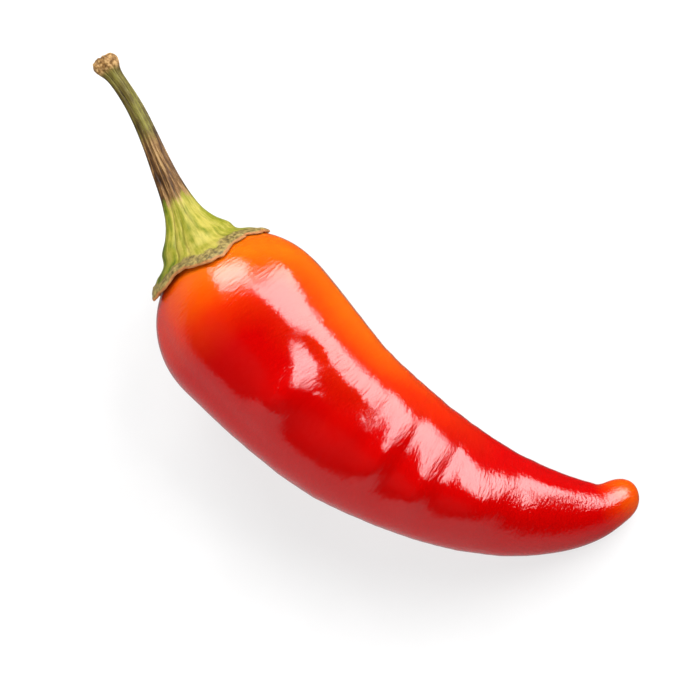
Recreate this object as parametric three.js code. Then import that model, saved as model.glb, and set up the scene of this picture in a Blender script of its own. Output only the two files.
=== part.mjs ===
// A red chilli pepper, short and stout, lying on its side as picked.
// It has two pieces: the glossy pod, modelled solid, and the green stem, whose calyx caps the pod.
// Millimetres. +X runs from the stem's broken end to the pod's tip, +Y to the inside of the bend and +Z up.
// The origin is at the bottom centre of the box round the whole pepper, on the surface that it lies on.
import * as THREE from "three";

// The pod: a ball-shaped shoulder that tapers along a bend to a blunt tip.
const SHOULDER_RADIUS = 13.05;
const TAPER_ONSET = 1.29; // higher keeps the pod stout for longer
const TAPER_CLOSE = 0.575; // lower makes the tip blunter
const POD_BEND = [[0.3, 0.5], [18.3, -1.6], [36, 0.7], [47.5, 5.4], [54.2, 11.2], [56.1, 16.8]];
const TIP_RADIUS = 2.5; // the ball that ends the pod
const TIP_BLEND = 4; // lower rounds the pod more where it runs into that ball
const TIP_DROP = 0.775; // the centre line's fall towards the tip, as a share of the shoulder's radius
const DROP_ONSET = 1.62;
const REST_FLAT = 0.25; // depth of the flattened strip that the pod lies on

// Shallow furrows run down from the calyx between the pod's lobes.
const FURROWS = 5;
const FURROW_DEPTH = 0.3;
const FURROW_TURN = THREE.MathUtils.degToRad(72); // where the first one lies, from +Y towards +Z
const FURROW_FADE = 0.45; // share of the pod's length where they have died away

// The calyx: a cap on the pod's shoulder, described about the centre of the shoulder's ball.
const CAP_GAP = 0.32; // clearance between the cap's underside and the pod
const CAP_THICKNESS = 0.5;
const CAP_ANGLE = THREE.MathUtils.degToRad(40.8); // from the cap's axis to its rim
const RIM_START = 0.6; // share of the cap's angle where the teeth begin to show
const TEETH = 5;
const TOOTH_REACH = 0.075; // how far a tooth runs past the rim, as a share of the cap's angle
const TOOTH_TURN = THREE.MathUtils.degToRad(13); // where the first one lies, from the top towards +Y

// The stem: its radius at distances from the centre of the shoulder's ball, out to the broken end.
const STEM_PROFILE = [
  [5.2, 14], [3.9, 15.6], [2.9, 17.5], [2.35, 19.4], [2, 21.4], [1.7, 24], [1.4, 28], [1.22, 33],
  [1.15, 38.2], [1.35, 40], [1.8, 41.1], [1.85, 42.1], [1.4, 42.6],
];
const STEM_END = 42.4; // the broken face is slightly hollow
const STEM_BEND = [[-6.1, 2.25], [-12.2, 4.5], [-21.7, 9.15], [-31.4, 14.05], [-39.5, 16.5]];
const STEM_RISE = 0.1; // the stem climbs this much for each millimetre of its run
const RIBS = 5;
const RIB_HEIGHT = 0.06; // as a share of the stem's radius
const RIB_FADE = [11.2, 15]; // the ribs grow out of the cap between these distances

// Steps of the surface grid.
const POD_AROUND = 40;
const DOME_STEPS = 10;
const BODY_STEPS = 36;
const STEM_AROUND = 40;
const STEM_STEPS = 34;
const CAP_STEPS = 6;
const PROBE = 0.05; // half the distance between two points that give a centre line's direction

const skin = new THREE.MeshStandardMaterial({ name: "skin", color: 0xd0150a, roughness: 0.18 });
const green = new THREE.MeshStandardMaterial({ name: "green", color: 0x86923c, roughness: 0.6 });

const podPlan = planCurve(POD_BEND);
const POD_LENGTH = podPlan.getLength();
const stemPlan = planCurve([[0, 0], ...STEM_BEND]);
const STEM_RUN = stemPlan.getLength();

function planCurve(points) {
  return new THREE.CatmullRomCurve3(points.map(([x, y]) => new THREE.Vector3(x, y, 0)));
}

// The point at a distance along a curve seen from above. It carries on straight past both ends.
function planPoint(curve, length, distance) {
  const share = THREE.MathUtils.clamp(distance / length, 0, 1);
  const past = distance - share * length;
  return curve.getPointAt(share).addScaledVector(curve.getTangentAt(share), past);
}

// The pod's centre line comes down as the pod thins, so that its whole underside lies on the surface.
function podLine(distance) {
  const share = Math.max(distance / POD_LENGTH, 0);
  const point = planPoint(podPlan, POD_LENGTH, distance);
  point.z = SHOULDER_RADIUS * (1 - TIP_DROP * share ** DROP_ONSET);
  return point;
}

function stemLine(distance) {
  const point = planPoint(stemPlan, STEM_RUN, distance);
  point.z = SHOULDER_RADIUS + STEM_RISE * distance;
  return point;
}

// The taper and the ball at the tip run into each other smoothly.
function podRadius(share) {
  const taper = SHOULDER_RADIUS * (1 - share ** TAPER_ONSET) ** TAPER_CLOSE;
  const fromBall = POD_LENGTH * (1 - share) - TIP_RADIUS;
  const ball = Math.sqrt(Math.max(TIP_RADIUS ** 2 - fromBall ** 2, 0));
  return (taper ** TIP_BLEND + ball ** TIP_BLEND) ** (1 / TIP_BLEND);
}

// The pod as it would be turned on a lathe: radius and distance from the shoulder ball's centre.
function podProfile() {
  const points = [];
  for (let i = 0; i <= DOME_STEPS; i++) {
    const angle = (Math.PI / 2) * (i / DOME_STEPS);
    points.push(new THREE.Vector2(SHOULDER_RADIUS * Math.sin(angle), -SHOULDER_RADIUS * Math.cos(angle)));
  }
  for (let i = 1; i <= BODY_STEPS; i++) {
    const share = Math.sin((Math.PI / 2) * (i / BODY_STEPS)); // the rings close up towards the tip
    points.push(new THREE.Vector2(podRadius(share), POD_LENGTH * share));
  }
  return points;
}

// The stem and calyx as they would be turned: up the cap's underside, round its rim and out along the stem.
function stemProfile() {
  const under = SHOULDER_RADIUS + CAP_GAP;
  const ballPoint = (radius, angle) => new THREE.Vector2(radius * Math.sin(angle), radius * Math.cos(angle));
  const points = [];
  for (let i = 0; i <= CAP_STEPS; i++) points.push(ballPoint(under, CAP_ANGLE * (i / CAP_STEPS)));
  points.push(ballPoint(under + CAP_THICKNESS / 2, CAP_ANGLE + CAP_THICKNESS / 2 / under));
  const skirt = [1, 0.8, 0.62].map((share) => ballPoint(under + CAP_THICKNESS, CAP_ANGLE * share));
  const stalk = STEM_PROFILE.map(([radius, distance]) => new THREE.Vector2(radius, distance));
  const outline = new THREE.SplineCurve([...skirt, ...stalk]);
  points.push(...outline.getSpacedPoints(STEM_STEPS), new THREE.Vector2(0, STEM_END));
  return points;
}

// A furrow is a narrow dip in the pod's radius. They fade out under the calyx and down the pod.
function furrow(turn, distance) {
  const dip = Math.max(Math.cos(FURROWS * (turn - FURROW_TURN)), 0) ** 3;
  const down = 1 - THREE.MathUtils.smoothstep(distance / POD_LENGTH, 0, FURROW_FADE);
  const clear = THREE.MathUtils.smoothstep(distance, -0.8 * SHOULDER_RADIUS, -0.4 * SHOULDER_RADIUS);
  return FURROW_DEPTH * dip * down * clear;
}

// Bends a turned shape along a centre line. shape(radius, distance, turn) first reshapes each section,
// and turn goes round the line from the side that faces +Y towards +Z.
function bend(geometry, line, shape) {
  const position = geometry.getAttribute("position");
  for (let i = 0; i < position.count; i++) {
    const [x, distance, z] = [position.getX(i), position.getY(i), position.getZ(i)];
    const turn = Math.atan2(z, x);
    const shaped = shape(Math.hypot(x, z), distance, turn);
    const ahead = line(shaped.distance + PROBE).sub(line(shaped.distance - PROBE)).normalize();
    const side = new THREE.Vector3(0, 0, 1).cross(ahead).normalize();
    if (side.y < 0) side.negate();
    const up = side.clone().cross(ahead).normalize();
    if (up.z < 0) up.negate();
    const point = line(shaped.distance)
      .addScaledVector(side, shaped.radius * Math.cos(turn))
      .addScaledVector(up, shaped.radius * Math.sin(turn));
    position.setXYZ(i, point.x, point.y, point.z);
  }
  return geometry;
}

function makePod() {
  const turned = new THREE.LatheGeometry(podProfile().reverse(), POD_AROUND);
  const bent = bend(turned, podLine, (radius, distance, turn) => {
    return { radius: radius - Math.min(furrow(turn, distance), radius), distance };
  });
  const position = bent.getAttribute("position");
  for (let i = 0; i < position.count; i++) position.setZ(i, Math.max(position.getZ(i), REST_FLAT));
  const pod = new THREE.Mesh(bent, skin);
  pod.name = "pod";
  return pod;
}

// Teeth carry the rim further down the pod, and ribs run from them along the stem.
function makeStem() {
  const turned = new THREE.LatheGeometry(stemProfile(), STEM_AROUND);
  const bent = bend(turned, stemLine, (radius, distance, turn) => {
    const fromTooth = Math.PI / 2 - turn - TOOTH_TURN;
    const reach = Math.hypot(radius, distance);
    const angle = Math.atan2(radius, distance);
    const nearRim = THREE.MathUtils.smoothstep(angle, RIM_START * CAP_ANGLE, CAP_ANGLE);
    const toothed = angle * (1 + TOOTH_REACH * Math.cos(TEETH * fromTooth) * nearRim);
    const onStem = THREE.MathUtils.smoothstep(distance, ...RIB_FADE);
    const ribbed = 1 + RIB_HEIGHT * Math.cos(RIBS * fromTooth) * onStem;
    return { radius: reach * Math.sin(toothed) * ribbed, distance: reach * Math.cos(toothed) };
  });
  const stem = new THREE.Mesh(bent, green);
  stem.name = "stem_and_calyx";
  return stem;
}

const pepper = new THREE.Group();
pepper.name = "chilli_pepper";
pepper.add(makePod(), makeStem());
const box = new THREE.Box3().setFromObject(pepper, true);
const centre = box.getCenter(new THREE.Vector3());
pepper.position.set(-centre.x, -centre.y, -box.min.z);

export default pepper;
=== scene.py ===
"""A red chilli pepper lying on a pale floor, seen from above in soft studio light.

Both pieces are grown from the CAD's own solids. Each of those is a turned shape bent along a centre line,
so its mesh is a stack of rings. The rings are read back, drawn through with smooth curves on a finer grid,
and the grid is then raised and lowered for the lumps, folds, grooves and cork that the real pepper has.
"""

import math

import bmesh
import bpy
import numpy as np
from mathutils import Matrix, Vector, noise


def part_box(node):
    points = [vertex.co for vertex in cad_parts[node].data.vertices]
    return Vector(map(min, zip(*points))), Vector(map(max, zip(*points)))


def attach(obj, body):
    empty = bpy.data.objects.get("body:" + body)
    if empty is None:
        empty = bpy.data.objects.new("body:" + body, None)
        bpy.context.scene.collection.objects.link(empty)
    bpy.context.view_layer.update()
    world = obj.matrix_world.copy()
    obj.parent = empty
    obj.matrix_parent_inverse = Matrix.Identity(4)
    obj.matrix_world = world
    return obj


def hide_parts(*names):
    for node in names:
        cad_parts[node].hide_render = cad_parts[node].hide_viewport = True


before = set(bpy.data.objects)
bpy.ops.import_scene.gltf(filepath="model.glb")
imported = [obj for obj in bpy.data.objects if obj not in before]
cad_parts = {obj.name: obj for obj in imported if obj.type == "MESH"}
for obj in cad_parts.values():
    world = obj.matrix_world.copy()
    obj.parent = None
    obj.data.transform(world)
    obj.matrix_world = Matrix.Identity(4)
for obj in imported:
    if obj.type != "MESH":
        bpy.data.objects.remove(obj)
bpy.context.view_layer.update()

MM = 0.001
BODY = "root"

# The fine grids: points round each ring, and rings from pole to pole.
POD_ROUND = 256
POD_RINGS = 384
STEM_ROUND = 240
STEM_RINGS = 410
WELD = 0.005 * MM  # the CAD's triangles share corners closer than this

# ---------------------------------------------------------------- the pod's measures
# Places on the pod are a distance along it from the middle of the shoulder, and a turn round it
# in degrees: 0 faces the inside of the bend and 90 faces up.

# Swellings and hollows: distance, turn, half length, half breadth in degrees, height. The lengths are
# in millimetres.
LUMPS = [
    (0, 72, 20, 9.5, 0.29),
    (-0.5, 36, 4.0, 14, 0.35),
    (4, 86, 5.0, 13, -0.45),
    (9.5, 71, 3.2, 9, -0.50),
    (21, 76, 3.5, 10, -0.18),
    (15, 80, 5.0, 12, -0.50),
    (11.2, 108, 2.5, 18, 1.35),
    (17.5, 95, 3.0, 18, -0.40),
    (23, 78, 1.4, 24, -0.30),
    (25.8, 104, 1.8, 18, 1.00),
    (28.7, 78, 1.3, 28, -0.35),
    (32, 110, 2.4, 20, 1.25),
    (35, 72, 1.4, 24, -0.35),
    (39.5, 104, 4.0, 24, 1.20),
    (39.5, 42, 4.5, 18, -0.45),
    (46, 74, 1.8, 24, -0.35),
    (50, 60, 6.0, 17, 0.40),
    (22, 200, 5.5, 30, 0.18),
    (38, 250, 5.0, 30, 0.15),
    (10, 300, 5.0, 24, 0.18),
    (30, 330, 5.0, 24, 0.15),
]

# Relief over the whole skin: wavelength along the pod, wavelength round it, height, and the noise's seed.
SWELL = (10 * MM, 8 * MM, 0.10 * MM, 11.3)
FOLDS = (2.8 * MM, 7.0 * MM, 0.10 * MM, 5.7)
WRINKLES = (0.9 * MM, 3.0 * MM, 0.035 * MM, 8.9)
WRAP = 0.8  # the noise is wrapped round a cylinder with this share of the shoulder's radius

# Where the relief begins and ends.
CLEAR_OF_CALYX = (-0.72, -0.45)  # all of it grows between these, as shares of the shoulder's radius
SWELL_START = (-6 * MM, 6 * MM)
FOLD_START = (0, 0.35)  # the folds grow between these, as shares of the pod's length
TAIL = (0.62, 0.92)  # swells and folds sink between these, as shares of the pod's length
SWELL_AT_TIP = 0.3  # shares of their height that are left at the tip
FOLDS_AT_TIP = 0.15
WRINKLES_AT_LEAST = 0.1

# Where the skin is orange rather than red. This is partly its own colour and partly painted light: the inner
# side, which faces the key light, and the thin shoulder top and tip, where light glows through, are painted
# more orange.
# Each gives its middle turn and half breadth in degrees, then the distances between which it turns red, and
# how orange it is.
ORANGE_INNER = (12, 45, 8 * MM, 48 * MM, 1.0)
ORANGE_TOP = (90, 60, -9 * MM, 4 * MM, 0.9)
ORANGE_TIP = (0.88, 0.98, 0.8)  # starts and is full at these shares of the pod's length; how orange it is

# ---------------------------------------------------------------- the stem's and calyx's measures
# Places on them are a distance from the shoulder's centre, here called the reach. On the calyx, the
# margin is how far a place lies in from the rim.

NECK_REACH = 15.5 * MM  # the calyx ends and the stalk begins
OFF_THE_RIM = 1.0  # stands for the margin on the stalk: far more than any width below

# The rim: it is frayed and wavy, and both fade within the fray's depth.
FRAY = 0.9 * MM  # how far the rim wanders up and down the pod
FRAY_FINE = 0.5  # the height of its small notches, as a share of that
FRAY_STEP = 3.4 * MM
FRAY_FINE_STEP = 0.9 * MM
FRAY_DEPTH = 1.5 * MM
RIM_DROP = -0.14 * MM  # the rim lies closer to the pod than the CAD's
RIM_WAVE = 0.16 * MM
RIM_WAVE_STEP = 4.5 * MM
RIM_CIRCLE = 10 * MM  # the noise along the rim is read on a circle of this radius

# Grooves run along the stalk and fan out over the calyx.
STREAK_ROUND = 2.3 * MM  # their noise is read on a cylinder of this radius
STREAK_LENGTH = 22 * MM
FINE_LENGTH = 0.4  # the length of the fine grooves, as a share of that
GROOVE_SHARPNESS = 6
FINE_SHARE = 0.35  # the fine grooves' depth, as a share of the main ones'
FINE_TINT = 0.45  # the share of the painted shade in a groove that the fine ones break up
TWIST = 0.16  # how far they wander round the stalk, in radians
TWIST_CIRCLE = 1.2 * MM
TWIST_LENGTH = 5 * MM
CALYX_GROOVE = 0.16 * MM
STEM_GROOVE = 0.13 * MM
GROOVE_CHANGE = 18 * MM  # the reach where the one depth gives way to the other
GROOVE_MARGIN = (0.2 * MM, 2.0 * MM)  # they grow between these margins
DRY_START = (19.5 * MM, 22 * MM)  # the dry stretch, where the grooves are deeper
DRY_END = (28 * MM, 32 * MM)
DRY_DEEPER = 0.6

# The corky margin of the calyx, and the broken knob at the stalk's end.
CORK = 0.16 * MM
CORK_GRAIN = 0.55 * MM
CORK_MARGIN = (0.9 * MM, 1.7 * MM)  # the cork dies away between these margins
BROKEN = 0.22 * MM
BROKEN_GRAIN = 0.7 * MM
BROKEN_START = (40.6 * MM, 41.6 * MM)

PAINTED_LIT_TURN = 60  # painted light: the turn of the side of the stalk that is painted lighter, in degrees
STALK_CIRCLE = 2.0  # the radius that the stem's material is wrapped on, in millimetres

# ---------------------------------------------------------------- the CAD's rings


def layers_from_pole(shell):
    """The points of a turned mesh in layers, from its pole nearest the stem's broken end to the other."""
    poles = sorted(shell.verts, key=lambda v: -len(v.link_edges))[:2]
    layers = [[min(poles, key=lambda v: v.co.x)]]
    seen = set(layers[0])
    while layers[-1]:
        layer = []
        for vert in layers[-1]:
            for edge in vert.link_edges:
                other = edge.other_vert(vert)
                if other not in seen:
                    seen.add(other)
                    layer.append(other)
        layers.append(layer)
    return [np.array([v.co for v in layer]) for layer in layers[:-1]]


def sorted_ring(layer, centre, ahead):
    """A layer's points in order of their turn: the first faces +Y, and they run up over the top."""
    side = np.cross((0, 0, 1), ahead)
    side *= math.copysign(1, side[1]) / np.linalg.norm(side)
    up = np.cross(side, ahead)
    up *= math.copysign(1, up[2]) / np.linalg.norm(up)
    turn = np.arctan2((layer - centre) @ up, (layer - centre) @ side)
    first = int(np.argmin(np.abs(np.sort(turn))))
    return np.roll(layer[np.argsort(turn)], -first, axis=0)


def cad_rings(name):
    """A CAD node's rings, as an array of rings, points and xyz. A pole is a ring of equal points."""
    shell = bmesh.new()
    shell.from_mesh(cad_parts[name].data)
    bmesh.ops.remove_doubles(shell, verts=shell.verts, dist=WELD)
    layers = layers_from_pole(shell)
    shell.free()
    round_count = len(layers[1])
    centres = np.array([layer.mean(axis=0) for layer in layers])
    rings = []
    for i, layer in enumerate(layers):
        if len(layer) == 1:
            rings.append(np.repeat(layer, round_count, axis=0))
        else:
            ahead = centres[min(i + 1, len(layers) - 1)] - centres[i - 1]
            rings.append(sorted_ring(layer, centres[i], ahead))
    return np.array(rings)


def ring_radii(rings):
    """The mean distance of each ring's points from the ring's own centre."""
    centres = rings.mean(axis=1, keepdims=True)
    return np.linalg.norm(rings - centres, axis=2).mean(axis=1)


def shoulder_centre():
    """The centre of the pod's widest ring, which the calyx is a cap about."""
    rings = cad_rings("pod")
    return rings.mean(axis=1)[int(np.argmax(ring_radii(rings)))]


def finer_round(rings, count):
    """The rings with count points each, through the same smooth closed curves."""
    spectrum = np.fft.rfft(rings, axis=1)
    spectrum[:, -1] = 0
    padding = np.zeros((len(rings), count // 2 + 1 - spectrum.shape[1], 3))
    padded = np.concatenate([spectrum, padding], axis=1)
    return np.fft.irfft(padded, n=count, axis=1) * count / rings.shape[1]


def spline(knots, values, at):
    """A natural cubic spline through the values."""
    gaps = np.diff(knots)
    slopes = np.diff(values, axis=0) / gaps[:, None]
    matrix = np.eye(len(knots))
    target = np.zeros_like(values)
    for i in range(1, len(knots) - 1):
        matrix[i, i - 1 : i + 2] = gaps[i - 1], 2 * (gaps[i - 1] + gaps[i]), gaps[i]
        target[i] = 6 * (slopes[i] - slopes[i - 1])
    bends = np.linalg.solve(matrix, target)
    i = np.clip(np.searchsorted(knots, at) - 1, 0, len(gaps) - 1)
    gap = gaps[i][:, None]
    before = (knots[i + 1] - at)[:, None] / gap
    after = 1 - before
    curved = (before**3 - before) * bends[i] + (after**3 - after) * bends[i + 1]
    return before * values[i] + after * values[i + 1] + curved * gap**2 / 6


def finer_along(rings, count):
    """The same surface on count rings, evenly spaced from pole to pole.

    Beyond each pole the spline sees the pole's neighbour again from the far side, so it passes flat over it.
    """
    half = rings.shape[1] // 2
    before = np.roll(rings[1], half, axis=0)
    after = np.roll(rings[-2], half, axis=0)
    padded = np.array([before, *rings, after])
    steps = np.linalg.norm(np.diff(padded, axis=0), axis=2).mean(axis=1)
    knots = np.concatenate([[0], np.cumsum(steps)])
    at = np.linspace(knots[1], knots[-2], count)
    flat = spline(knots, padded.reshape(len(padded), -1), at)
    return flat.reshape(count, rings.shape[1], 3)


# ---------------------------------------------------------------- the fine skins


def grid_faces(rings, around):
    """Quads between the rings and a fan of triangles at each pole. Each pole is a single point."""
    first = 1
    end = first + (rings - 3) * around
    last_pole = end + around
    i, j = np.meshgrid(np.arange(rings - 3), np.arange(around), indexing="ij")
    here = first + i * around + j
    beside = first + i * around + (j + 1) % around
    quads = np.stack([here, beside, beside + around, here + around], axis=-1).reshape(-1, 4)
    start = np.arange(around)
    turned = (start + 1) % around
    first_fan = np.stack([np.zeros(around, int), first + turned, first + start], axis=-1)
    last_fan = np.stack([np.full(around, last_pole), end + start, end + turned], axis=-1)
    return [*quads.tolist(), *first_fan.tolist(), *last_fan.tolist()]


def add_field(mesh, name, values):
    """Stores a number or a vector for each of the mesh's points, for its material to read."""
    vector = values.shape[1] == 3
    attribute = mesh.attributes.new(name, "FLOAT_VECTOR" if vector else "FLOAT", "POINT")
    attribute.data.foreach_set("vector" if vector else "value", values.ravel())


class Skin:
    """A closed surface as a grid of rings from pole to pole, with what is needed to shape it."""

    def __init__(self, node_name, rings, around):
        self.points = finer_along(finer_round(cad_rings(node_name), around), rings)
        centres = self.points.mean(axis=1)
        steps = np.linalg.norm(np.diff(centres, axis=0), axis=1)
        self.distance = np.concatenate([[0], np.cumsum(steps)])[:, None]
        self.turn = np.linspace(0, 2 * math.pi, around, endpoint=False)[None, :]

    def normals(self):
        along = np.gradient(self.points, axis=0)
        ahead = np.roll(self.points, -1, axis=1)
        behind = np.roll(self.points, 1, axis=1)
        out = np.cross(ahead - behind, along)
        out /= np.linalg.norm(out, axis=2, keepdims=True) + 1e-12
        out[0] = out[1].mean(axis=0) / np.linalg.norm(out[1].mean(axis=0))
        out[-1] = out[-2].mean(axis=0) / np.linalg.norm(out[-2].mean(axis=0))
        return out

    def raise_by(self, height):
        height = np.broadcast_to(height, self.points.shape[:2]).copy()
        height[0] = height[1].mean()
        height[-1] = height[-2].mean()
        self.points = self.points + self.normals() * height[..., None]

    def piece(self, name, material, fields):
        """The skin as a Blender object. fields are grids of numbers or vectors for the material."""
        rings, around = self.points.shape[:2]
        kept = np.concatenate([[0], np.arange(around, (rings - 1) * around + 1)])
        mesh = bpy.data.meshes.new(name)
        mesh.from_pydata(self.points.reshape(-1, 3)[kept].tolist(), [], grid_faces(rings, around))
        for field, values in fields.items():
            grid = np.broadcast_to(values, (rings, around) + np.shape(values)[2:])
            add_field(mesh, field, grid.reshape(rings * around, -1)[kept].astype(np.float32))
        mesh.polygons.foreach_set("use_smooth", [True] * len(mesh.polygons))
        mesh.materials.append(material)
        mesh.update()
        shown = bpy.data.objects.new(name, mesh)
        bpy.context.scene.collection.objects.link(shown)
        return shown


# ---------------------------------------------------------------- shaping


def smoothstep(value, low, high):
    share = np.clip((value - low) / (high - low), 0, 1)
    return share * share * (3 - 2 * share)


def turned_from(turn, middle):
    """How far a turn is from the middle one, in radians, the short way round."""
    return (turn - middle + math.pi) % (2 * math.pi) - math.pi


def bell_round(turn, middle, half_breadth):
    """1 at the middle turn and falling away to each side of it. The last two are in degrees."""
    return np.exp(-((turned_from(turn, math.radians(middle)) / math.radians(half_breadth)) ** 2))


def noise_on(points, wavelengths, seed):
    """Smooth noise of about -1 to 1 at each point, with its own wavelength along each axis."""
    scaled = points.reshape(-1, 3) / np.array(wavelengths) + seed
    values = [noise.noise(Vector(p)) for p in scaled.tolist()]
    return np.array(values).reshape(points.shape[:-1])


def flow(distance, turn, radius):
    """Coordinates that follow a piece: round it on a cylinder of that radius, and along it."""
    shape = np.broadcast(distance, turn).shape
    parts = (radius * np.cos(turn), radius * np.sin(turn), distance)
    return np.stack([np.broadcast_to(part, shape) for part in parts], axis=-1)


def relief(where, pattern):
    """The height of a pattern such as FOLDS at each place."""
    along, across, height, seed = pattern
    return height * noise_on(where, (across, across, along), seed)


# ---------------------------------------------------------------- the pod


def lump_height(distance, turn):
    height = np.zeros(np.broadcast(distance, turn).shape)
    for at, middle, half_length, half_breadth, lift in LUMPS:
        along = np.exp(-(((distance - at * MM) / (half_length * MM)) ** 2))
        height += lift * MM * along * bell_round(turn, middle, half_breadth)
    return height


def pod_height(distance, turn, where, radius, length):
    """How far the pod's skin stands out from the CAD's surface."""
    clear = smoothstep(distance, CLEAR_OF_CALYX[0] * radius, CLEAR_OF_CALYX[1] * radius)
    body = 1 - smoothstep(distance, TAIL[0] * length, TAIL[1] * length)
    swelling = (SWELL_AT_TIP + (1 - SWELL_AT_TIP) * body) * smoothstep(distance, *SWELL_START)
    folded = smoothstep(distance, FOLD_START[0] * length, FOLD_START[1] * length)
    folded = folded * (FOLDS_AT_TIP + (1 - FOLDS_AT_TIP) * body)
    height = lump_height(distance, turn)
    height += relief(where, SWELL) * swelling
    height += relief(where, FOLDS) * folded
    height += relief(where, WRINKLES) * (WRINKLES_AT_LEAST + folded)
    return height * clear


def orange_patch(distance, turn, patch):
    """How orange one of the stretches leaves each place."""
    middle, half_breadth, red_from, red_by, strength = patch
    return strength * bell_round(turn, middle, half_breadth) * (1 - smoothstep(distance, red_from, red_by))


def pod_redness(distance, turn, length):
    """0 where the skin is orange and 1 where it is red; the orange is partly its own colour and partly
    painted light.
    """
    tip_start, tip_full, tip_strength = ORANGE_TIP
    orange = orange_patch(distance, turn, ORANGE_INNER) + orange_patch(distance, turn, ORANGE_TOP)
    tip = tip_strength * smoothstep(distance, tip_start * length, tip_full * length)
    return np.clip(1 - orange - tip, 0, 1)


def make_pod():
    skin = Skin("pod", POD_RINGS, POD_ROUND)
    radii = ring_radii(skin.points)
    radius = radii.max()
    distance = skin.distance - skin.distance[int(np.argmax(radii))]
    length = distance[-1, 0]
    where = flow(distance, skin.turn, WRAP * radius)
    skin.raise_by(pod_height(distance, skin.turn, where, radius, length))
    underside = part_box("pod")[0].z
    skin.points[..., 2] = np.maximum(skin.points[..., 2], underside)
    fields = {"redness": pod_redness(distance, skin.turn, length), "flow": where / MM}
    return skin.piece("pod_skin", pod_material(), fields)


# ---------------------------------------------------------------- the stem and calyx


def polar_form(offset):
    """The cap's axis, and for each offset its way out from the axis, its angle from it and its reach."""
    reach = np.linalg.norm(offset, axis=2)
    neck = int(np.argmin(np.abs(reach.mean(axis=1) - NECK_REACH)))
    axis = offset[neck].mean(axis=0)
    axis /= np.linalg.norm(axis)
    along = offset @ axis
    sideways = offset - along[..., None] * axis
    breadth = np.linalg.norm(sideways, axis=2)
    outward = sideways / (breadth[..., None] + 1e-12)
    return axis, outward, np.arctan2(breadth, along), reach


def frayed_rim(turn, polar, reach, margin):
    """The cap's angle and reach once its rim is frayed, waved and laid closer to the pod."""
    edge = flow(np.zeros((1, 1)), turn, RIM_CIRCLE)
    fray = FRAY * noise_on(edge, (FRAY_STEP,) * 3, seed=2.4)
    fray = fray + FRAY_FINE * FRAY * noise_on(edge, (FRAY_FINE_STEP,) * 3, seed=6.2)
    wave = RIM_DROP + RIM_WAVE * noise_on(edge, (RIM_WAVE_STEP,) * 3, seed=9.5)
    near = np.exp(-margin / FRAY_DEPTH)
    return polar + fray / reach * near, reach + wave * near


def stem_grooves(skin):
    """The main grooves as 0 to 1, and the fine ones as about -1 to 1. Both wander a little."""
    thread = flow(skin.distance, skin.turn, TWIST_CIRCLE)
    turn = skin.turn + TWIST * noise_on(thread, (MM, MM, TWIST_LENGTH), seed=3.3)
    main = flow(skin.distance, turn, STREAK_ROUND)
    small = flow(skin.distance, turn, 2 * STREAK_ROUND)
    ridged = 1 - np.abs(noise_on(main, (MM, MM, STREAK_LENGTH), seed=4.4))
    fine = noise_on(small, (MM, MM, FINE_LENGTH * STREAK_LENGTH), seed=8.1)
    return ridged**GROOVE_SHARPNESS, fine


def stem_height(points, reach, margin, outer, groove, fine):
    """How far the stem's skin stands out from the CAD's surface. The cap's underside stays as it is."""
    dry = smoothstep(reach, *DRY_START) * (1 - smoothstep(reach, *DRY_END))
    depth = np.where(reach < GROOVE_CHANGE, CALYX_GROOVE, STEM_GROOVE) * (1 + DRY_DEEPER * dry)
    depth = depth * np.where(outer, smoothstep(margin, *GROOVE_MARGIN), 0)
    corky = np.where(outer, 1 - smoothstep(margin, *CORK_MARGIN), 0)
    broken = smoothstep(reach, *BROKEN_START)
    height = -depth * (groove + FINE_SHARE * fine)
    height = height + CORK * corky * noise_on(points, (CORK_GRAIN,) * 3, seed=7.3)
    return height + BROKEN * broken * noise_on(points, (BROKEN_GRAIN,) * 3, seed=1.9)


def make_stem():
    """The calyx is shaped in polar angle about the shoulder's centre, from the cap's axis to its rim."""
    skin = Skin("stem_and_calyx", STEM_RINGS, STEM_ROUND)
    centre = shoulder_centre()
    axis, outward, polar, reach = polar_form(skin.points - centre)
    rim = int(np.argmax(polar.mean(axis=1)))
    outer = (np.arange(STEM_RINGS) < rim)[:, None]  # the rings from the broken end to the rim
    on_cap = reach < NECK_REACH
    margin = np.where(on_cap, (polar.max(axis=0) - polar) * reach, OFF_THE_RIM)

    angle, away = frayed_rim(skin.turn, polar, reach, margin)
    moved = away[..., None] * (np.cos(angle)[..., None] * axis + np.sin(angle)[..., None] * outward)
    skin.points = np.where(on_cap[..., None], centre + moved, skin.points)
    groove, fine = stem_grooves(skin)
    skin.raise_by(stem_height(skin.points, reach, margin, outer, groove, fine))

    # painted light: one side of the stalk is painted lighter
    painted_lit_side = 0.5 + 0.5 * np.cos(turned_from(skin.turn, math.radians(PAINTED_LIT_TURN)))
    fields = {
        "away": reach / MM,
        "margin": np.where(outer, margin, 0) / MM,
        # painted shade: how much the colour is darkened in each groove
        "groove": groove * (1 - FINE_TINT + FINE_TINT * fine),
        "painted_lit_side": np.broadcast_to(painted_lit_side, reach.shape),
        "flow": flow(skin.distance / MM, skin.turn, STALK_CIRCLE),
    }
    return skin.piece("stem_and_calyx_skin", stem_material(), fields)


# ---------------------------------------------------------------- material helpers


def node(tree, kind, inputs=None, **settings):
    """A new shader node. Inputs are numbers, colours or the sockets that feed them."""
    made = tree.nodes.new(kind)
    for name, value in settings.items():
        setattr(made, name, value)
    for name, value in (inputs or {}).items():
        if isinstance(value, bpy.types.NodeSocket):
            tree.links.new(value, made.inputs[name])
        else:
            made.inputs[name].default_value = value
    return made


def new_material(name):
    material = bpy.data.materials.new(name)
    material.use_nodes = True
    tree = material.node_tree
    return material, tree, tree.nodes["Principled BSDF"]


def object_space(tree):
    return node(tree, "ShaderNodeTexCoord").outputs["Object"]


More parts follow.
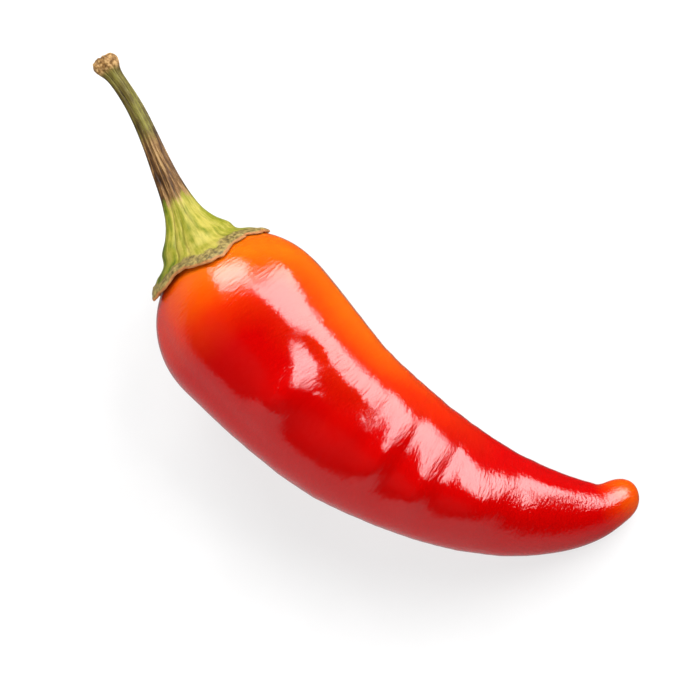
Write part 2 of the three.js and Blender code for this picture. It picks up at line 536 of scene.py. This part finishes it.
def field(tree, name, socket="Fac"):
    """A value that the piece's mesh holds for each of its points."""
    return node(tree, "ShaderNodeAttribute", attribute_name=name).outputs[socket]


def stretch(tree, vector, scale):
    return node(tree, "ShaderNodeMapping", {"Vector": vector, "Scale": scale}).outputs["Vector"]


def grain(tree, vector, scale, detail=2.0, roughness=0.5):
    inputs = {"Vector": vector, "Scale": scale, "Detail": detail, "Roughness": roughness}
    return node(tree, "ShaderNodeTexNoise", inputs).outputs["Fac"]


def math_node(tree, operation, first, second, third=0.0, clamp=False):
    inputs = {0: first, 1: second, 2: third}
    return node(tree, "ShaderNodeMath", inputs, operation=operation, use_clamp=clamp).outputs[0]


def ramp(tree, factor, stops):
    made = node(tree, "ShaderNodeValToRGB", {"Fac": factor})
    elements = made.color_ramp.elements
    while len(elements) < len(stops):
        elements.new(0.5)
    for element, (place, colour) in zip(elements, stops):
        element.position = place
        element.color = (*colour, 1)
    return made.outputs["Color"]


def greys(stops):
    return [(place, (grey, grey, grey)) for place, grey in stops]


def blend(tree, factor, first, second, blend_type="MIX"):
    inputs = {0: factor, 6: first, 7: second}
    return node(tree, "ShaderNodeMix", inputs, data_type="RGBA", blend_type=blend_type).outputs[2]


def fade(tree, value, low, high):
    """0 where the value is low, 1 where it is high, and smooth in between."""
    inputs = {"Value": value, "From Min": low, "From Max": high}
    return node(tree, "ShaderNodeMapRange", inputs, interpolation_type="SMOOTHSTEP").outputs["Result"]


def bumped(tree, shader, height, distance):
    bump = node(tree, "ShaderNodeBump", {"Height": height, "Strength": 1.0, "Distance": distance})
    tree.links.new(bump.outputs["Normal"], shader.inputs["Normal"])


# ---------------------------------------------------------------- the pod's material

# From orange to deep red. The orange end is partly painted light, on the lit side and where light glows
# through thin skin.
ORANGE_TO_RED = [
    (0.0, (0.45, 0.078, 0.001)),
    (0.3, (0.42, 0.044, 0.0006)),
    (0.6, (0.37, 0.013, 0.0003)),
    (1.0, (0.29, 0.0002, 0.0001)),
]
PATCH_SCALE = 130  # cells per metre, as are the scales below
MOTTLE = (0.2, -0.06)  # the patches are multiplied by the first and shifted by the second
SKIN_ROUGHNESS = 0.12
SKIN_IOR = 1.5
FIBRES = (0.9, 0.9, 3.2)  # the grain is drawn out round the pod: cells per millimetre round it and along it
FIBRE_DEPTH = 0.08 * MM
FLESH_GLOW = 0.3  # the share of the light that soaks into the flesh
FLESH_REACH = 4 * MM
FLESH_RADIUS = (1.0, 0.15, 0.05)  # red, green and blue, as shares of that reach


def pod_material():
    material, tree, shader = new_material("pod_skin")
    patches = grain(tree, object_space(tree), PATCH_SCALE, detail=3)
    red_share = field(tree, "redness")
    mottled = math_node(tree, "MULTIPLY_ADD", patches, *MOTTLE)
    factor = math_node(tree, "ADD", red_share, mottled, clamp=True)
    tree.links.new(ramp(tree, factor, ORANGE_TO_RED), shader.inputs["Base Color"])
    shader.inputs["Roughness"].default_value = SKIN_ROUGHNESS
    shader.inputs["IOR"].default_value = SKIN_IOR
    fibres = grain(tree, stretch(tree, field(tree, "flow", "Vector"), FIBRES), 1.0, detail=3)
    bumped(tree, shader, fibres, FIBRE_DEPTH)
    shader.inputs["Subsurface Weight"].default_value = FLESH_GLOW
    shader.inputs["Subsurface Radius"].default_value = FLESH_RADIUS
    shader.inputs["Subsurface Scale"].default_value = FLESH_REACH
    return material


# ---------------------------------------------------------------- the stem's material

# The ramps below run dark to light; the streaks and the painted lit side pick the lighter end.
GREEN = [
    (0.30, (0.028, 0.034, 0.001)),
    (0.43, (0.068, 0.092, 0.001)),
    (0.56, (0.150, 0.148, 0.006)),
    (0.72, (0.265, 0.225, 0.036)),
]
BROWN = [
    (0.42, (0.014, 0.005, 0.001)),
    (0.49, (0.052, 0.021, 0.004)),
    (0.56, (0.115, 0.054, 0.014)),
    (0.65, (0.240, 0.145, 0.055)),
]
OLIVE = [
    (0.36, (0.018, 0.010, 0.001)),
    (0.47, (0.038, 0.025, 0.003)),
    (0.58, (0.068, 0.050, 0.007)),
    (0.72, (0.125, 0.112, 0.018)),
]
TAN = [
    (0.33, (0.060, 0.026, 0.005)),
    (0.47, (0.170, 0.085, 0.022)),
    (0.60, (0.320, 0.200, 0.080)),
]
GREY_BROWN = [
    (0.34, (0.045, 0.030, 0.008)),
    (0.48, (0.130, 0.095, 0.026)),
    (0.62, (0.230, 0.170, 0.050)),
]
LIP = (0.26, 0.105, 0.032, 1)  # the tan line along the rim
GROOVE_SHADE = (0.50, 0.42, 0.35, 1)  # painted shade: what the colour is multiplied by in the grooves
UNSHADED = (1, 1, 1, 1)
GROOVE_SHOWS = (0.2, 0.9)

# Places on the stem, in millimetres: the reach, or the margin on the calyx.
BROWN_START = (19.8, 21.0)
OLIVE_START = (28.5, 31.5)
KNOB_START = (40.2, 41.2)
LIP_MARGIN = (0.60, 0.35)
CORK_EDGE = (-0.3, 0.3)

STREAKS = (2.6, 2.6, 0.2)  # cells per millimetre round the stalk and along it
SPECK_SCALE = 1800
PATCHY_SCALE = 500
PAINTED_LIT_LEAN = (0.40, -0.47)  # gain and shift: the lit side is painted lighter
PATCHY_LEAN = 0.45
BROWN_LEAN = 0.35  # the share of the painted light and the patches that the brown stretch takes
JAG = (7.0, -3.5)  # gain and shift, in millimetres: the stretches run into each other in streaks
UNEVEN = (3.0, 0.5)  # gain and shift, in millimetres: how wide the cork is
LIP_UNEVEN = 0.5
SPECK_RELIEF = 0.3  # how much the specks stand out off the cork; on the cork it is 1 more
STEM_RELIEF = 0.12 * MM
STEM_IOR = 1.33
STEM_ROUGHNESS = [(0.3, 0.42), (0.7, 0.68)]


def stem_colour(tree, streaks, specks, patchy):
    """Green on the calyx, then brown, olive and a tan knob, painted lighter on one side as if lit and darker
    in the grooves as painted shade.
    """
    away = field(tree, "away")
    lit_and_patchy = math_node(tree, "MULTIPLY_ADD", field(tree, "painted_lit_side"), *PAINTED_LIT_LEAN)
    lit_and_patchy = math_node(tree, "MULTIPLY_ADD", patchy, PATCHY_LEAN, lit_and_patchy)
    lit = math_node(tree, "ADD", streaks, lit_and_patchy)
    browned = math_node(tree, "MULTIPLY_ADD", lit_and_patchy, BROWN_LEAN, streaks)
    zone = math_node(tree, "ADD", away, math_node(tree, "MULTIPLY_ADD", streaks, *JAG))
    colour = blend(tree, fade(tree, zone, *BROWN_START), ramp(tree, lit, GREEN), ramp(tree, browned, BROWN))
    colour = blend(tree, fade(tree, zone, *OLIVE_START), colour, ramp(tree, lit, OLIVE))
    colour = blend(tree, fade(tree, away, *KNOB_START), colour, ramp(tree, specks, TAN))
    # painted shade in the grooves
    dark = blend(tree, fade(tree, field(tree, "groove"), *GROOVE_SHOWS), UNSHADED, GROOVE_SHADE)
    return blend(tree, 1.0, colour, dark, "MULTIPLY")


def stem_material():
    material, tree, shader = new_material("stem_green")
    where = object_space(tree)
    drawn_out = stretch(tree, field(tree, "flow", "Vector"), STREAKS)
    streaks = grain(tree, drawn_out, 1.0, detail=6, roughness=0.7)
    specks = grain(tree, where, SPECK_SCALE, detail=4, roughness=0.6)
    patchy = grain(tree, where, PATCHY_SCALE, detail=3)
    margin = field(tree, "margin")

    width = math_node(tree, "MULTIPLY_ADD", patchy, *UNEVEN)
    corky = fade(tree, math_node(tree, "SUBTRACT", width, margin), *CORK_EDGE)
    colour = blend(tree, corky, stem_colour(tree, streaks, specks, patchy), ramp(tree, specks, GREY_BROWN))
    lip_place = math_node(tree, "MULTIPLY_ADD", patchy, LIP_UNEVEN, margin)
    colour = blend(tree, fade(tree, lip_place, *LIP_MARGIN), colour, LIP)
    tree.links.new(colour, shader.inputs["Base Color"])

    speckled = math_node(tree, "ADD", corky, SPECK_RELIEF)
    bumped(tree, shader, math_node(tree, "MULTIPLY_ADD", specks, speckled, streaks), STEM_RELIEF)
    shader.inputs["IOR"].default_value = STEM_IOR
    tree.links.new(ramp(tree, specks, greys(STEM_ROUGHNESS)), shader.inputs["Roughness"])
    return material


# ---------------------------------------------------------------- the studio

PICTURE_TURN = math.radians(39)  # the picture's right-hand direction, from +X towards +Y
CAMERA_LEAN = math.radians(9)  # the camera looks down, leaning this far towards +X
LENS = 300  # a long lens, from far off
SENSOR = 36
AIM = (4.48 * MM, 4.15 * MM)  # where the picture's centre falls, at the height of the shoulder's middle
VIEW_WIDTH = 98 * MM  # at the height of the shoulder's middle
FAR_CLIP = 100

# Each light: azimuth from the picture's right towards its top, elevation, size in metres, radiance.
LIGHT_DISTANCE = 0.5
KEY = (math.radians(42), math.radians(38), (0.42, 0.42), 11)
BACK = (math.radians(109), math.radians(32), (0.29, 0.32), 12)
FILL = (math.radians(235), math.radians(36), (1.0, 1.0), 2.5)

FLOOR_SIZE = 3.0
FLOOR_GREY = [(0.3, 0.18), (0.7, 0.20)]
FLOOR_SCALE = 60
FLOOR_ROUGHNESS = 0.9
FLOOR_GLOW = 0.62

# The surround's brightness from straight below (0) to straight above (1), and across from the side
# that faces the fill light (1) to the other (0). The two are multiplied.
SURROUND_HEIGHT = [(0.02, 0.75), (0.12, 0.5), (0.30, 0.65), (0.48, 0.75), (0.54, 0.75), (0.62, 0.02)]
SURROUND_SIDE = [(0.25, 0.05), (0.5, 0.35), (0.8, 0.8)]


def make_camera(height):
    camera = bpy.data.cameras.new("camera")
    camera.lens = LENS
    camera.sensor_width = SENSOR
    camera.clip_end = FAR_CLIP
    holder = bpy.data.objects.new("camera", camera)
    facing = Matrix.Rotation(CAMERA_LEAN, 4, "Y") @ Matrix.Rotation(PICTURE_TURN, 4, "Z")
    back = facing @ Vector((0, 0, VIEW_WIDTH * LENS / SENSOR))
    holder.matrix_world = Matrix.Translation(Vector((*AIM, height)) + back) @ facing
    bpy.context.scene.collection.objects.link(holder)
    bpy.context.scene.camera = holder


def make_softbox(name, azimuth, elevation, size, radiance):
    """A rectangular light that faces the pepper."""
    light = bpy.data.lights.new(name, "AREA")
    light.shape = "RECTANGLE"
    light.size, light.size_y = size
    light.energy = radiance * math.pi * size[0] * size[1]
    holder = bpy.data.objects.new(name, light)
    level = math.cos(elevation)
    heading = azimuth + PICTURE_TURN
    direction = Vector((level * math.cos(heading), level * math.sin(heading), math.sin(elevation)))
    holder.location = direction * LIGHT_DISTANCE
    holder.rotation_euler = direction.to_track_quat("Z", "Y").to_euler()
    holder.visible_camera = False
    bpy.context.scene.collection.objects.link(holder)
    return holder


def floor_material():
    material, tree, shader = new_material("floor")
    patches = grain(tree, object_space(tree), FLOOR_SCALE, detail=4)
    colour = ramp(tree, patches, greys(FLOOR_GREY))
    tree.links.new(colour, shader.inputs["Base Color"])
    shader.inputs["Roughness"].default_value = FLOOR_ROUGHNESS
    shader.inputs["Emission Color"].default_value = (1, 1, 1, 1)
    shader.inputs["Emission Strength"].default_value = FLOOR_GLOW
    return material


def make_floor():
    """The floor is kept out of reflections: it would turn the pod's orange side pink."""
    bpy.ops.mesh.primitive_plane_add(size=FLOOR_SIZE)
    floor = bpy.context.object
    floor.name = "floor"
    floor.data.materials.append(floor_material())
    floor.visible_glossy = False


def make_world():
    world = bpy.data.worlds.new("studio")
    world.use_nodes = True
    bpy.context.scene.world = world
    tree = world.node_tree
    where = node(tree, "ShaderNodeTexCoord").outputs["Generated"]
    upward = node(tree, "ShaderNodeSeparateXYZ", {0: where}).outputs["Z"]
    heading = PICTURE_TURN + FILL[0]
    to_fill = (math.cos(heading), math.sin(heading), 0)
    inputs = {0: where, 1: to_fill}
    across = node(tree, "ShaderNodeVectorMath", inputs, operation="DOT_PRODUCT").outputs["Value"]
    height = math_node(tree, "MULTIPLY_ADD", upward, 0.5, 0.5)
    side = math_node(tree, "MULTIPLY_ADD", across, 0.5, 0.5)
    over = ramp(tree, height, greys(SURROUND_HEIGHT))
    glow = blend(tree, 1.0, over, ramp(tree, side, greys(SURROUND_SIDE)), "MULTIPLY")
    tree.links.new(glow, tree.nodes["Background"].inputs["Color"])


def make_studio():
    low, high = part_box("pod")
    make_camera((low.z + high.z) / 2)
    make_softbox("key", *KEY)
    make_softbox("back", *BACK)
    make_softbox("fill", *FILL).visible_glossy = False
    make_floor()
    make_world()
    bpy.context.scene.view_settings.view_transform = "Standard"


pod = make_pod()
stem = make_stem()
for piece, node_name, slot_name in ((pod, "pod", "pod_skin"), (stem, "stem_and_calyx", "stem_green")):
    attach(piece, BODY)
    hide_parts(node_name)
make_studio()
